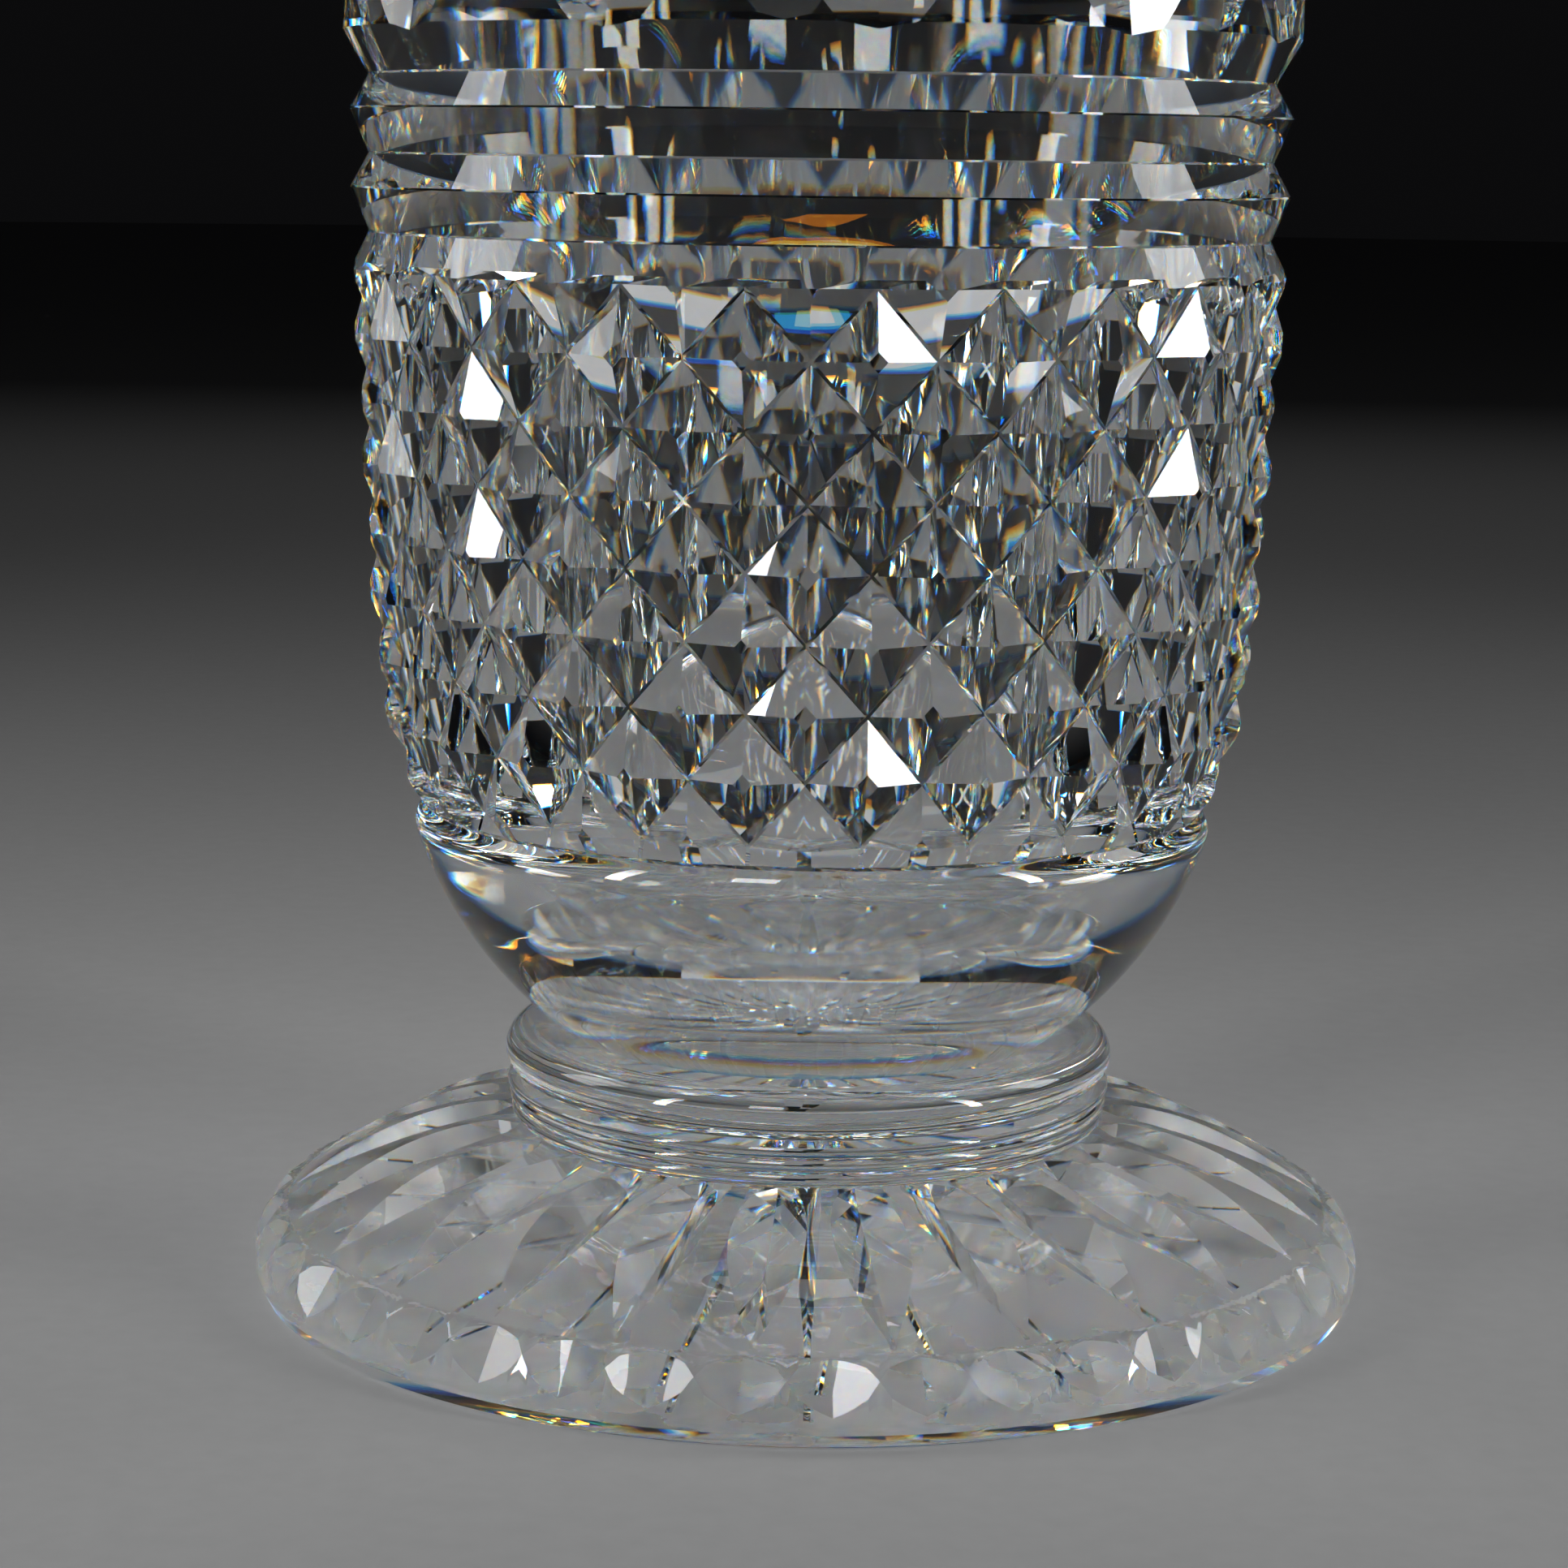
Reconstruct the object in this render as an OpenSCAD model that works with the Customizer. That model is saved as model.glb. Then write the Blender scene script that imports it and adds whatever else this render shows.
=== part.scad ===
// Footed cut-crystal vase: a blown and wheel-cut body on a reeded knop and a domed, star-cut foot.
// The three glass pieces are joined hot, face to face, and share one upright axis.
// The origin is the centre of the foot's resting face. +Z is up and -Y is the front.

/* [Foot] */
// Diameter of the foot
foot_d = 140; // [115:1:170]
// Height of the foot where the knop sits on it
foot_h = 20.3; // [16.5:0.1:25]
// Height of the foot's widest line
foot_rim_h = 3.2; // [2.4:0.1:4]
// Inset of the resting face from the widest line
foot_bevel = 0.8; // [0.4:0.1:1.2]
// Inset of the rounded shoulder above the widest line
foot_shoulder_in = 4; // [3:0.1:5]
// Height of the rounded shoulder
foot_shoulder_h = 9.2; // [7.5:0.1:11]
// How far the dome bulges above a straight line from the knop to the shoulder
foot_dome = 2.2; // [1.5:0.1:2.8]
// Number of radial flutes on the dome
flute_count = 26; // [20:1:32]
// Depth of a flute's inner end below the dome
flute_depth = 1.4; // [0.8:0.1:1.8]
// Included angle of the flutes
flute_angle = 122; // [100:1:130]
// Number of notches round the rim
notch_count = 42; // [32:1:52]
// Depth of the rim notches
notch_depth = 1.15; // [0.6:0.05:1.4]
// Number of rays in the star under the foot
star_count = 24; // [16:1:32]
// Depth of the star's rays
star_depth = 1.5; // [0.8:0.1:2]
// Diameter of the star under the foot
star_d = 112; // [92:1:120]

/* [Knop] */
// Diameter of the knop
knop_d = 76.8; // [64:0.1:92]
// Height of the knop
knop_h = 11.7; // [9.5:0.1:14]
// Diameter of the knop's base on the foot
knop_base_d = 75; // [62:0.1:75]
// Number of fine reeds under the knop's round bead
reed_count = 3; // [2:1:5]
// How far the reeds stand out
reed_relief = 0.45; // [0.2:0.05:0.6]
// Height of the round bead on top of the knop
knop_bead_h = 6.55; // [5.5:0.05:7.8]
// How far the round bead stands out from its inner edge, on the radius
knop_bead_w = 3.7; // [3:0.1:4.4]
// How far the bead overhangs the reeds, on the radius
knop_crease = 0.6; // [0.3:0.1:0.9]

/* [Body] */
// Diameter of the shoulder, over the points of the diamonds
body_d = 114.2; // [98:0.1:138]
// Diameter of the neck where the bowl meets the knop
neck_d = 62.8; // [52:0.1:68]
// Height of the plain round bowl
bowl_h = 24.4; // [20:0.1:29]
// Inset of the plain bead over the bowl from the shoulder, on the radius
bead_in = 7.8; // [6.5:0.1:9.4]
// Height of the bead
bead_h = 4.2; // [3.4:0.1:5]
// Height of the cut strip between the bead and the diamonds
strip_h = 2.6; // [2:0.1:3.2]
// Number of diamonds round the body
diamond_columns = 24; // [18:2:30]
// Number of full diamonds in a column
diamond_rows = 4; // [3:1:5]
// Height of the diamond field
diamond_field_h = 62.9; // [52:0.1:76]
// Depth of the grooves between the diamonds
diamond_depth = 2.2; // [1.6:0.1:2.6]
// Width of the flat left on each diamond's point
diamond_flat = 2; // [1:0.1:3]
// How much the diamond field narrows downward, on the radius
field_taper = 3.2; // [2:0.1:4]
// How much the field's lowest edge curls in, on the radius
field_curl = 3.4; // [2.5:0.1:4]
// Height of the chamfer over the diamonds
shoulder_h = 4.5; // [3.6:0.1:5.4]
// Number of sharp rings over the shoulder
ring_count = 2; // [1:1:4]
// Distance from ring to ring
ring_pitch = 9.25; // [7.5:0.05:11]
// Depth of the grooves between the rings
ring_depth = 2.1; // [1.5:0.1:2.6]
// Height from a groove up to the ring's edge
ring_rise = 5.27; // [4:0.01:6]

/* [Cut band and rim] */
// Height of the cut band from its lower edge to the rim
band_h = 96; // [80:1:116]
// How far the band's lower edge stands out from the shoulder's radius
band_step = 0.8; // [0:0.1:1.5]
// Diameter of the rim
rim_d = 146; // [132:1:176]
// Number of wide leaves in each of the band's two rows
leaf_count = 12; // [10:1:16]
// Depth of the lower leaves
leaf_depth = 2.6; // [1.8:0.1:3.2]
// How far a lower leaf's tip dips below the band's edge
leaf_dip = 3.2; // [2:0.1:4]
// Height of a lower leaf's upper tip above the band's edge
leaf_h = 50; // [41:1:60]
// Included angle of the leaf cuts
leaf_angle = 168; // [160:1:174]
// Depth of the upper leaves, which stand between the lower ones
upper_leaf_depth = 2.4; // [1.6:0.1:3]
// Height of an upper leaf's lower tip above the band's edge
upper_leaf_low = 36; // [30:1:42]
// Distance from an upper leaf's upper tip to the rim
leaf_gap = 4; // [3:0.5:8]
// Height of the round lobes of the rim
lobe_depth = 7; // [5:0.5:9]
// Bevel round the outside of the rim
rim_bevel = 1.2; // [0.6:0.1:1.8]

/* [Cavity] */
// Thickness of the wall at the shoulder, from the points of the diamonds to the cavity
wall_t = 10.6; // [8.8:0.1:13]
// Thickness of the glass under the cavity
floor_t = 10; // [7:0.5:13]
// Diameter of the cavity's flat floor
cavity_floor_d = 34; // [24:1:42]
// Thickness of the wall at the rim
rim_wall = 7; // [5:0.5:9]
// How much the cavity narrows down to the foot of the diamond field, on the radius
cavity_taper = 4.2; // [3.4:0.1:6]
// How far the cavity's round bottom reaches up behind the diamonds
cavity_turn_h = 7.55; // [5:0.05:12]

/* [Hidden] */

FRONT = -90;
FLUTE_TURN = FRONT - 5.5;
NOTCH_TURN = FRONT + 2.3;
DIAMOND_TURN = FRONT + 6.2;
LEAF_TURN = FRONT + 5.5;
SMOOTH = 180;
ARC_STEPS = 12;
GLASS = [0.84, 0.91, 0.94];

foot_r = foot_d / 2;
knop_base_r = knop_base_d / 2;
body_r = body_d / 2;
neck_r = neck_d / 2;
bead_r = body_r - bead_in;
rim_r = rim_d / 2;

// Heights of the body's lines above the table
neck_z = foot_h + knop_h;
bead_z = neck_z + bowl_h;
strip_z = bead_z + bead_h;
field_z = strip_z + strip_h;
shoulder_z = field_z + diamond_field_h;
ring_z = shoulder_z + shoulder_h;
band_z = ring_z + ring_count * ring_pitch + ring_rise;
top_z = band_z + band_h;
cavity_floor_z = neck_z + floor_t;
band_r = body_r + band_step;

function polar(r, a, z) = [r * cos(a), r * sin(a), z];
function mix(a, b, t) = a + (b - a) * t;

// ---- Foot ----

// The dome between the knop and the shoulder: a straight line with a parabolic bulge
dome_in = knop_base_r;
dome_out = foot_r - foot_shoulder_in;
function dome_t(r) = (r - dome_in) / (dome_out - dome_in);
function dome_z(r) = mix(foot_h, foot_shoulder_h, dome_t(r)) + 4 * foot_dome * dome_t(r) * (1 - dome_t(r));
function dome_points() = [for (k = [0:ARC_STEPS]) let (r = mix(dome_in, dome_out, k / ARC_STEPS)) [r, dome_z(r)]];

// The rim is a quarter of an ellipse from the shoulder out to the widest line
function rim_point(t) = [dome_out + foot_shoulder_in * sin(90 * t), mix(foot_rim_h, foot_shoulder_h, cos(90 * t))];
function foot_rim_points() = [for (k = [1:8]) rim_point(k / 8)];

module foot_blank() {
    rotate_extrude($fn = SMOOTH)
        polygon(concat(
            [[0, 0], [0, foot_h]],
            dome_points(),
            foot_rim_points(),
            [[foot_r, foot_rim_h / 2], [foot_r - foot_bevel, 0]]
        ));
}

// A V-shaped cutter whose edge lies on the local Z axis at x = -depth and whose mouth opens along +X
VEE_LIP = 12;
module vee(depth, angle, length) {
    reach = depth + VEE_LIP;
    spread = reach * tan(angle / 2);
    linear_extrude(height = length, center = true)
        polygon([[-depth, 0], [reach - depth, spread], [reach - depth, -spread]]);
}

flute_out_r = dome_out - 1;
flute_in_z = dome_z(dome_in + 1) - flute_depth;
flute_out_z = dome_z(flute_out_r);
flute_run = flute_out_r - dome_in - 1;
flute_slope = atan2(flute_in_z - flute_out_z, flute_run);

// A flute runs in a straight line from beside the knop to just short of the rim
module flute() {
    length = flute_run / cos(flute_slope);
    translate([dome_in + 1 + flute_run / 2, 0, (flute_in_z + flute_out_z) / 2])
        rotate([0, 90 + flute_slope, 0])
            mirror([1, 0, 0])
                vee(0, flute_angle, length);
}

notch_turn = atan2(foot_shoulder_in, foot_shoulder_h - foot_rim_h);
notch_mid = rim_point(0.5);
notch_half_w = PI * foot_r / notch_count;

module notch() {
    translate([notch_mid[0], 0, notch_mid[1]])
        rotate([0, -notch_turn, 0])
            vee(notch_depth, 2 * atan2(notch_half_w, notch_depth), 3 * foot_shoulder_h);
}

star_in_r = 8;
star_slope = atan2(star_depth, star_d / 2 - star_in_r);

module star_ray() {
    run = star_d / 2 - star_in_r;
    translate([star_in_r + run / 2, 0, star_depth / 2])
        rotate([0, 90 + star_slope, 0])
            vee(0, 90, run / cos(star_slope));
}

module foot() {
    color(GLASS)
        difference() {
            foot_blank();
            for (k = [0:flute_count - 1]) rotate([0, 0, FLUTE_TURN + k * 360 / flute_count]) flute();
            for (k = [0:notch_count - 1]) rotate([0, 0, NOTCH_TURN + k * 360 / notch_count]) notch();
            for (k = [0:star_count - 1]) rotate([0, 0, k * 360 / star_count]) star_ray();
        }
}

// ---- Knop ----

// A round bead on top, standing a little above the crease, and fine reeds down to the foot
knop_r = knop_d / 2;
reed_z = foot_h + knop_h - knop_bead_h;
reed_h = (knop_h - knop_bead_h) / reed_count;
function knop_bead(a) = [
    knop_r - knop_bead_w + knop_bead_w * cos(a),
    reed_z + knop_bead_h * (0.5 + 0.5 * sin(a))
];
function reed_point(k, t) = [
    mix(knop_r - knop_crease, knop_base_r - reed_relief, (k + t) / reed_count) + reed_relief * sin(180 * t),
    reed_z - (k + t) * reed_h
];

module knop() {
    color(GLASS)
        rotate_extrude($fn = SMOOTH)
            polygon(concat(
                [[0, foot_h], [0, neck_z], [neck_r, neck_z]],
                [for (k = [0:10]) knop_bead(mix(90, -62, k / 10))],
                [for (k = [0:reed_count - 1]) for (t = [0, 0.25, 0.5, 0.75]) reed_point(k, t)],
                [[knop_base_r - reed_relief, foot_h]]
            ));
}

// ---- Body ----

// The bowl is part of a sphere through the neck and the bead's lower edge
bowl_c = (bead_r * bead_r - neck_r * neck_r + bowl_h * bowl_h) / (2 * bowl_h);
bowl_r = norm([neck_r, bowl_c]);
bowl_a0 = atan2(-bowl_c, neck_r);
bowl_a1 = atan2(bowl_h - bowl_c, bead_r);
function bowl_points() = [for (k = [0:ARC_STEPS]) let (a = mix(bowl_a0, bowl_a1, k / ARC_STEPS))
    [bowl_r * cos(a), neck_z + bowl_c + bowl_r * sin(a)]];

// The bead is a shallow round moulding that ends in a groove
bead_groove = 0.7;
function bead_points() = [for (k = [1:6]) let (t = k / 6)
    [bead_r - bead_groove * t * t + 0.5 * sin(180 * t), bead_z + bead_h * t]];

// Radius of the diamonds' points at a height
function field_t(z) = (z - field_z) / diamond_field_h;
function field_r(z) = body_r - field_taper * (1 - field_t(z)) - field_curl * pow(1 - field_t(z), 8);

// A plain core runs behind the diamonds
core_gap = 1.2;
core_lap = 0.4;
core_lip_out = 0.8;
core_lip_in = 0.5;
function core_r(z) = field_r(z) - diamond_depth - core_gap;
function core_points() = [for (k = [0:ARC_STEPS])
    let (z = mix(field_z + core_lap, shoulder_z - core_lap, k / ARC_STEPS)) [core_r(z), z]];

// Sharp rings: a groove, a ring's edge, and the next groove
function ring_points() = [for (k = [0:ring_count]) each [
    [body_r - ring_depth, ring_z + k * ring_pitch],
    [k < ring_count ? body_r : band_r, ring_z + k * ring_pitch + ring_rise]
]];

// The band flares to the rim, slowly at first
FLARE = 1.8;
function band_rad(z) = band_r + (rim_r - band_r) * pow(max(0, z - band_z) / band_h, FLARE);
function band_points() = [for (k = [1:ARC_STEPS])
    let (z = mix(band_z, top_z - rim_bevel, k / ARC_STEPS)) [band_rad(z), z]];

module core() {
    rotate_extrude($fn = SMOOTH)
        polygon(concat(
            [[0, neck_z]],
            bowl_points(),
            bead_points(),
            [[field_r(field_z) - diamond_depth + core_lip_out, field_z + core_lap]],
            core_points(),
            [[body_r - core_lip_in, shoulder_z - core_lap]],
            ring_points(),
            band_points(),
            [[rim_r - rim_bevel, top_z], [0, top_z]]
        ));
}

// The diamond field. Grooves cross at every second point of a grid of half diamonds.
half_rows = 2 * diamond_rows;
half_turn = 180 / diamond_columns;
field_side_n = 2 * diamond_columns;
function row_z(j) = field_z + diamond_field_h * j / half_rows;
function groove_node(i, j) = polar(field_r(row_z(j)) - diamond_depth, DIAMOND_TURN + i * half_turn, row_z(j));
// A corner of the flat on the diamond centred on (i, j); di and dj say which way it lies from the centre
function flat_corner(i, j, di, dj) =
    let (
        z = row_z(j) + dj * diamond_flat / 2,
        r = field_r(row_z(j)),
        a = DIAMOND_TURN + i * half_turn + di * diamond_flat / 2 / r * 180 / PI
    )
    polar(r, a, z);
function turned(i) = (i + field_side_n) % field_side_n;
// Where each point stands in the polyhedron's list: a slot of four for every place on the grid
function at(i, j, c) = 4 * (j * field_side_n + turned(i)) + c;
function is_node(i, j) = (i + j) % 2 == 0;
EAST = 0;
NORTH = 1;
WEST = 2;
SOUTH = 3;
field_points = [for (j = [0:half_rows]) for (i = [0:field_side_n - 1]) for (c = [EAST, NORTH, WEST, SOUTH])
    is_node(i, j) ? groove_node(i, j)
    : c == EAST ? flat_corner(i, j, 1, 0)
    : c == NORTH ? flat_corner(i, j, 0, j < half_rows ? 1 : 0)
    : c == WEST ? flat_corner(i, j, -1, 0)
    : flat_corner(i, j, 0, j > 0 ? -1 : 0)];
back_start = len(field_points);
// The field's back lies inside the core's wall
field_lap = 1.5;
function back_point(i, j) = polar(core_r(row_z(j)) - field_lap, DIAMOND_TURN + i * half_turn, row_z(j));
back_points = [for (j = [0, half_rows]) for (i = [0:field_side_n - 1]) back_point(i, j)];
function back(i, top) = back_start + (top ? field_side_n : 0) + turned(i);

function slope(a, b, c, d) = [[a, b, c], [a, c, d]];
function upper_faces(i, j) = concat(
    slope(at(i + 1, j, EAST), at(i, j + 1, EAST), at(i, j, NORTH), at(i, j, EAST)),
    slope(at(i, j + 1, EAST), at(i - 1, j, EAST), at(i, j, WEST), at(i, j, NORTH))
);
function lower_faces(i, j) = concat(
    slope(at(i - 1, j, EAST), at(i, j - 1, EAST), at(i, j, SOUTH), at(i, j, WEST)),
    slope(at(i, j - 1, EAST), at(i + 1, j, EAST), at(i, j, EAST), at(i, j, SOUTH))
);
function flat_faces(i, j) =
    j == 0 ? [[at(i, j, EAST), at(i, j, NORTH), at(i, j, WEST)]]
    : j == half_rows ? [[at(i, j, EAST), at(i, j, WEST), at(i, j, SOUTH)]]
    : [[at(i, j, EAST), at(i, j, NORTH), at(i, j, WEST)], [at(i, j, EAST), at(i, j, WEST), at(i, j, SOUTH)]];
function diamond_faces(i, j) = concat(
    j < half_rows ? upper_faces(i, j) : [],
    j > 0 ? lower_faces(i, j) : [],
    flat_faces(i, j)
);
// The ends of the field are rings of triangles from the zigzag edge to the back
function low_end(i) = [
    [at(i - 1, 0, EAST), at(i, 0, WEST), back(i - 1, false)],
    [at(i, 0, WEST), back(i, false), back(i - 1, false)],
    [at(i, 0, WEST), at(i, 0, EAST), back(i, false)],
    [at(i, 0, EAST), at(i + 1, 0, EAST), back(i, false)],
    [at(i + 1, 0, EAST), back(i + 1, false), back(i, false)]
];
function high_end(i) = [
    [at(i, half_rows, WEST), at(i - 1, half_rows, EAST), back(i - 1, true)],
    [back(i, true), at(i, half_rows, WEST), back(i - 1, true)],
    [at(i, half_rows, EAST), at(i, half_rows, WEST), back(i, true)],
    [at(i + 1, half_rows, EAST), at(i, half_rows, EAST), back(i, true)],
    [back(i + 1, true), at(i + 1, half_rows, EAST), back(i, true)]
];
function back_faces(i) = slope(back(i, false), back(i + 1, false), back(i + 1, true), back(i, true));
field_faces = concat(
    [for (j = [0:half_rows]) for (i = [0:field_side_n - 1]) if (!is_node(i, j)) each diamond_faces(i, j)],
    [for (i = [1:2:field_side_n - 1]) each low_end(i)],
    [for (i = [1:2:field_side_n - 1]) each high_end(i)],
    [for (i = [0:field_side_n - 1]) each back_faces(i)]
);

module diamond_field() {
    polyhedron(points = concat(field_points, back_points), faces = field_faces, convexity = 6);
}

// The cavity: a flat floor, a round bottom, a tapered side behind the diamonds and a flared mouth
cavity_r = body_r - wall_t;
cavity_low_r = cavity_r - cavity_taper;
cavity_turn_z = field_z + cavity_turn_h;
cavity_floor_r = cavity_floor_d / 2;
function cavity_bottom() = [for (k = [0:ARC_STEPS]) let (a = 90 * k / ARC_STEPS) [
    cavity_floor_r + (cavity_low_r - cavity_floor_r) * sin(a),
    cavity_floor_z + (cavity_turn_z - cavity_floor_z) * (1 - cos(a))
]];
mouth_r = rim_r - rim_wall;
function mouth_rad(z) = cavity_r + (mouth_r - cavity_r) * pow((z - ring_z) / (top_z - ring_z), FLARE);
function mouth_points() = [for (k = [0:ARC_STEPS])
    let (z = mix(ring_z, top_z, k / ARC_STEPS)) [mouth_rad(z), z]];

module cavity() {
    rotate_extrude($fn = SMOOTH)
        polygon(concat(
            [[0, cavity_floor_z]],
            cavity_bottom(),
            mouth_points(),
            [[mouth_r, top_z + 1], [0, top_z + 1]]
        ));
}

// A leaf is the mark of a large V-edged wheel that just touches the band at the leaf's two tips.
// The wheel's rim is only a little wider than its mark.
wheel_margin = 1.5;
wheel_slope = 1 / tan(leaf_angle / 2);
function mark_half_w(depth) = rim_r * (sqrt(wheel_slope * wheel_slope + 2 * depth / rim_r) - wheel_slope);

module wheel_mark(low_z, high_z, depth) {
    length = high_z - low_z;
    chord_r = (band_rad(low_z) + band_rad(high_z)) / 2;
    hollow = chord_r - band_rad((low_z + high_z) / 2);
    sink = depth + hollow;
    wheel_r = length * length / (8 * sink);
    spread = mark_half_w(depth) + wheel_margin;
    edge_in = wheel_r - spread * wheel_slope;
    back_in = wheel_r - spread * wheel_slope - sink - wheel_margin;
    translate([chord_r, 0, (low_z + high_z) / 2])
        rotate([0, atan2(band_rad(high_z) - band_rad(low_z), length), 0])
            translate([wheel_r - sink, 0, 0])
                rotate([90, 0, 0])
                    rotate_extrude($fn = SMOOTH)
                        polygon([
                            [back_in, -spread],
                            [edge_in, -spread],
                            [wheel_r, 0],
                            [edge_in, spread],
                            [back_in, spread]
                        ]);
}

// The lower leaves start at the band's lower edge; an upper leaf stands between each two of them
leaf_low_z = band_z - leaf_dip;
leaf_high_z = band_z + leaf_h;
upper_low_z = band_z + upper_leaf_low;
upper_high_z = top_z - leaf_gap;

// The rim is a row of round lobes. A nick with two round sides parts them over each lower leaf.
lobe_half_w = rim_r * sin(180 / leaf_count);
lobe_r = (lobe_half_w * lobe_half_w + lobe_depth * lobe_depth) / (2 * lobe_depth);
lobe_a = asin(lobe_half_w / lobe_r);
function lobe_point(a) = [lobe_half_w - lobe_r * sin(a), lobe_r * (cos(a) - 1)];
function lobe_side(way) = [for (k = [0:ARC_STEPS]) let (p = lobe_point(lobe_a * (1 - k / ARC_STEPS)))
    [way * p[0], p[1]]];
function reversed(list) = [for (k = [len(list) - 1:-1:0]) list[k]];

module nick() {
    translate([rim_r - 2 * rim_wall, 0, top_z])
        rotate([90, 0, 90])
            linear_extrude(height = 4 * rim_wall)
                polygon(concat(
                    lobe_side(1),
                    [[lobe_half_w, 1], [-lobe_half_w, 1]],
                    reversed([for (k = [1:ARC_STEPS]) lobe_side(-1)[k]])
                ));
}

module body() {
    color(GLASS)
        difference() {
            union() {
                core();
                diamond_field();
            }
            cavity();
            for (k = [0:leaf_count - 1]) rotate([0, 0, LEAF_TURN + k * 360 / leaf_count]) {
                wheel_mark(leaf_low_z, leaf_high_z, leaf_depth);
                nick();
                rotate([0, 0, 180 / leaf_count]) wheel_mark(upper_low_z, upper_high_z, upper_leaf_depth);
            }
        }
}

foot();
knop();
body();
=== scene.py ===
"""A footed cut-crystal vase on a pale floor: Blender 4.5, metres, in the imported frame."""
import math
import random

import bpy
from mathutils import Matrix, Vector


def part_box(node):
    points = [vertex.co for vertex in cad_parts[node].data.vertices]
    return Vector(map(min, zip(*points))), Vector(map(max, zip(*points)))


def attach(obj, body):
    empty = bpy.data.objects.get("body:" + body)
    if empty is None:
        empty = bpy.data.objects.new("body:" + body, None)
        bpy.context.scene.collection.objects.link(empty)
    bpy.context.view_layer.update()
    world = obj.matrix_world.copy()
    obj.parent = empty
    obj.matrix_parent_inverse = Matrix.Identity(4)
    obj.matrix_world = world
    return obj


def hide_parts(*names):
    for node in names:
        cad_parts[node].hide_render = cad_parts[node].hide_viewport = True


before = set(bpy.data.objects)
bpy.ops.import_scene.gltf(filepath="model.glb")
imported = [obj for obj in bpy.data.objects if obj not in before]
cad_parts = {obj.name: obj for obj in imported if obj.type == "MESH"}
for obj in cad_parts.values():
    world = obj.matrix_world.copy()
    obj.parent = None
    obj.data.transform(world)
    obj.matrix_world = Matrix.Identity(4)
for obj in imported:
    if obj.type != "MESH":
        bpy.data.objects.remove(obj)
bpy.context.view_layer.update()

# ---- Sizes, in millimetres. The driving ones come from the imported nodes' boxes. ----
MM = 0.001
TURN = 360.0


def corner(node, which):
    """A node's lowest (0) or highest (1) corner in millimetres."""
    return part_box(node)[which] / MM


FOOT_R = corner("foot", 1).x
FOOT_H = corner("foot", 1).z
KNOP_R = corner("knop", 1).x
NECK_Z = corner("knop", 1).z
TOP_Z = corner("body", 1).z
FRONT = -90.0

FOOT_RIM_H = 3.2
FOOT_BEVEL = 0.8
SHOULDER_IN = 4.0
SHOULDER_H = 9.2
DOME_RISE = 2.2
FLUTES = 26
FLUTE_DEPTH = 1.4
FLUTE_ANGLE = 122.0
NOTCHES = 42
NOTCH_DEPTH = 1.15
RAYS = 24
STAR_R = 56.0
STAR_DEPTH = 1.5

KNOP_BASE_R = 37.5
REEDS = 3
REED_RELIEF = 0.45

NECK_R = 31.4
BODY_R = 57.1
BOWL_H = 24.4
BEAD_R = 49.3
BEAD_H = 4.2
BEAD_GROOVE = 0.7
STRIP_H = 2.6
FIELD_H = 62.9
COLUMNS = 24
ROWS = 4
DIAMOND_DEPTH = 2.2
DIAMOND_FLAT = 2.0
GROOVE_FLAT = 0.42
FIELD_TAPER = 3.2
FIELD_CURL = 3.4
SHOULDER_RISE = 4.5
RINGS = 2
RING_PITCH = 9.25
RING_DEPTH = 2.1
RING_RISE = 5.27
EDGE_FLAT = 0.12
BAND_STEP = 0.8
RIM_R = 73.0
LEAVES = 12
LEAF_ANGLE = 168.0
LEAF_DEPTH = 2.6
LEAF_DIP = 3.2
LEAF_H = 50.0
UPPER_DEPTH = 2.4
UPPER_LOW = 36.0
LEAF_GAP = 4.0
FLARE = 1.8
CAVITY_R = 46.5
CAVITY_TAPER = 4.2
FLOOR_T = 10.0
FLOOR_R = 17.0
FLOOR_DISH = 0.9
CAVITY_TURN_H = 7.55
RIM_WALL = 7.0
RIM_ROUND = 1.6
LOBE_DROP = 18.0
MOUTH_DROP = 26.0
HAIR = 0.02
LOBE_DEPTH = 7.0

BEAD_Z = NECK_Z + BOWL_H
STRIP_Z = BEAD_Z + BEAD_H
FIELD_Z = STRIP_Z + STRIP_H
SHOULDER_Z = FIELD_Z + FIELD_H
RING_Z = SHOULDER_Z + SHOULDER_RISE
BAND_Z = RING_Z + RINGS * RING_PITCH + RING_RISE
BAND_H = TOP_Z - BAND_Z
BAND_R = BODY_R + BAND_STEP

DIAMOND_TURN = FRONT + 6.2
LEAF_TURN = FRONT + 5.5
FLUTE_TURN = FRONT - 5.5
NOTCH_TURN = FRONT + 2.3

ROUND = 288
SHARP = math.radians(6.5)


# ---- Small helpers ----


def mix(a, b, t):
    return a + (b - a) * t


def steps(n, first=0):
    """n + 1 - first even steps from 0 to 1."""
    return [k / n for k in range(first, n + 1)]


def polar(r, a, z):
    a = math.radians(a)
    return (r * math.cos(a), r * math.sin(a), z)


def cot(a):
    return 1.0 / math.tan(math.radians(a))


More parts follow.
